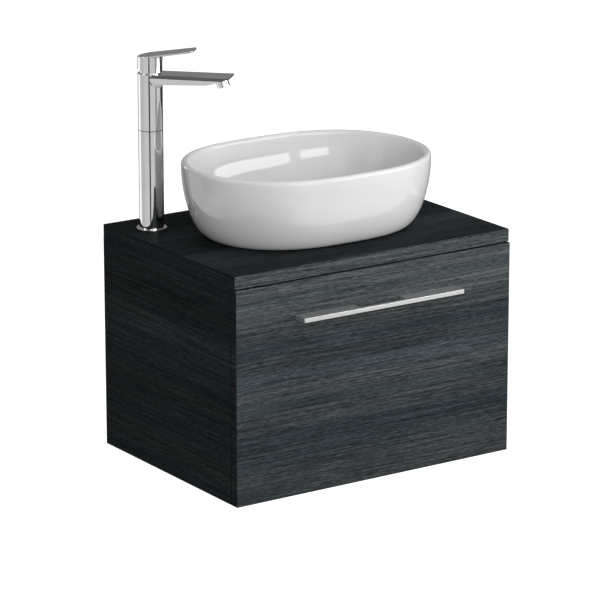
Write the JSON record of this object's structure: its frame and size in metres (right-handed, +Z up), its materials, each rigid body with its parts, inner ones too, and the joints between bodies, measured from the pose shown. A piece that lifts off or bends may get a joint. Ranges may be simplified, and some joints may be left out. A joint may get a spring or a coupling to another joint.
{
  "type": "vessel sink on vanity",
  "caption": "Wall-hung vanity with a deep drawer on runners, an oval vessel basin, a push-open waste and trap, and a tall lever mixer tap.",
  "frame": {"origin": "on the wall, midway between the four wall plate holes", "axes": "+X to the right seen from the front, +Y into the wall, +Z up"},
  "size_m": [0.6, 0.4803, 0.7655],
  "materials": {
    "laminate": "dark charcoal laminate with a fine wood grain",
    "inner_board": "pale grey melamine board",
    "dowel_wood": "plain beech",
    "glazed_white": "white glaze",
    "polished_chrome": "polished chrome plate",
    "satin_handle": "satin, brushed along its length",
    "zinc_steel": "zinc-plated steel",
    "white_plastic": "moulded white plastic",
    "grey_plastic": "moulded grey plastic",
    "black_rubber": "black rubber",
    "bare_brass": "machined brass"
  },
  "bodies": {
    "cabinet": {"worktop": "laminate", "left_side_panel": "laminate", "right_side_panel": "laminate", "bottom_panel": "inner_board", "upper_back_rail": "inner_board", "lower_back_rail": "inner_board", "carcass_dowels": "dowel_wood", "basin": "glazed_white", "tap_base_flange": "polished_chrome", "tap_column": "polished_chrome", "tap_body": "polished_chrome", "tap_dome": "polished_chrome", "aerator_housing": "polished_chrome", "waste_body": "polished_chrome", "left_cabinet_runner": "zinc_steel", "right_cabinet_runner": "zinc_steel", "cabinet_runner_screws": "zinc_steel", "wall_plates": "zinc_steel", "hanger_hooks": "zinc_steel", "tap_stud": "zinc_steel", "tap_stud_nut": "zinc_steel", "tap_clamp_plate": "zinc_steel", "cabinet_hangers": "white_plastic", "trap_inlet_nut": "white_plastic", "trap_dip_tube": "white_plastic", "trap_top_nut": "white_plastic", "trap_body": "white_plastic", "trap_cup": "white_plastic", "trap_outlet_nut": "white_plastic", "trap_outlet_pipe": "white_plastic", "cartridge_case": "grey_plastic", "aerator_insert": "grey_plastic", "plug_guide": "grey_plastic", "front_buffers": "black_rubber", "waste_flange_seal": "black_rubber", "tap_rubber_washer": "black_rubber", "waste_nut": "bare_brass", "cartridge_nut": "bare_brass"},
    "drawer": {"drawer_front": "laminate", "handle": "satin_handle", "handle_screws": "zinc_steel", "drawer_left_side": "inner_board", "drawer_right_side": "inner_board", "drawer_left_back": "inner_board", "drawer_right_back": "inner_board", "drawer_base": "inner_board", "trap_surround": "white_plastic", "drawer_dowels": "dowel_wood", "left_drawer_runner": "zinc_steel", "right_drawer_runner": "zinc_steel", "drawer_runner_screws": "zinc_steel"},
    "left_runner_middle": {"left_middle_runner": "zinc_steel"},
    "right_runner_middle": {"right_middle_runner": "zinc_steel"},
    "lever_turntable": {"cartridge_rotor": "grey_plastic"},
    "lever_arm": {"lever": "polished_chrome", "lever_grub_screw": "zinc_steel", "lever_index_plug": "grey_plastic", "cartridge_spindle": "bare_brass"},
    "plug": {"waste_plug": "polished_chrome", "waste_plug_seal": "black_rubber"}
  },
  "joints": [
    {"name": "drawer_slide", "type": "slide", "parent": "cabinet", "child": "drawer", "axis": [0, -1, 0], "range_m": [0, 0.33]},
    {"name": "left_runner_slide", "type": "slide", "parent": "cabinet", "child": "left_runner_middle", "axis": [0, -1, 0], "range_m": [0, 0.165]},
    {"name": "right_runner_slide", "type": "slide", "parent": "cabinet", "child": "right_runner_middle", "axis": [0, -1, 0], "range_m": [0, 0.165]},
    {"name": "lever_swivel", "type": "hinge", "parent": "cabinet", "child": "lever_turntable", "pos_m": [-0.2448, -0.0816, 0.3795], "axis": [0, 0, 1], "range_deg": [-50, 50]},
    {"name": "lever_lift", "type": "hinge", "parent": "lever_turntable", "child": "lever_arm", "pos_m": [-0.2448, -0.0816, 0.3795], "axis": [-0.7071, -0.7071, 0], "range_deg": [0, 18]},
    {"name": "plug_lift", "type": "slide", "parent": "cabinet", "child": "plug", "axis": [0, 0, 1], "range_m": [0, 0.008]}
  ],
  "couplings": [
    {"joint": "left_runner_slide", "follows": "drawer_slide", "ratio": 0.5},
    {"joint": "right_runner_slide", "follows": "drawer_slide", "ratio": 0.5}
  ]
}
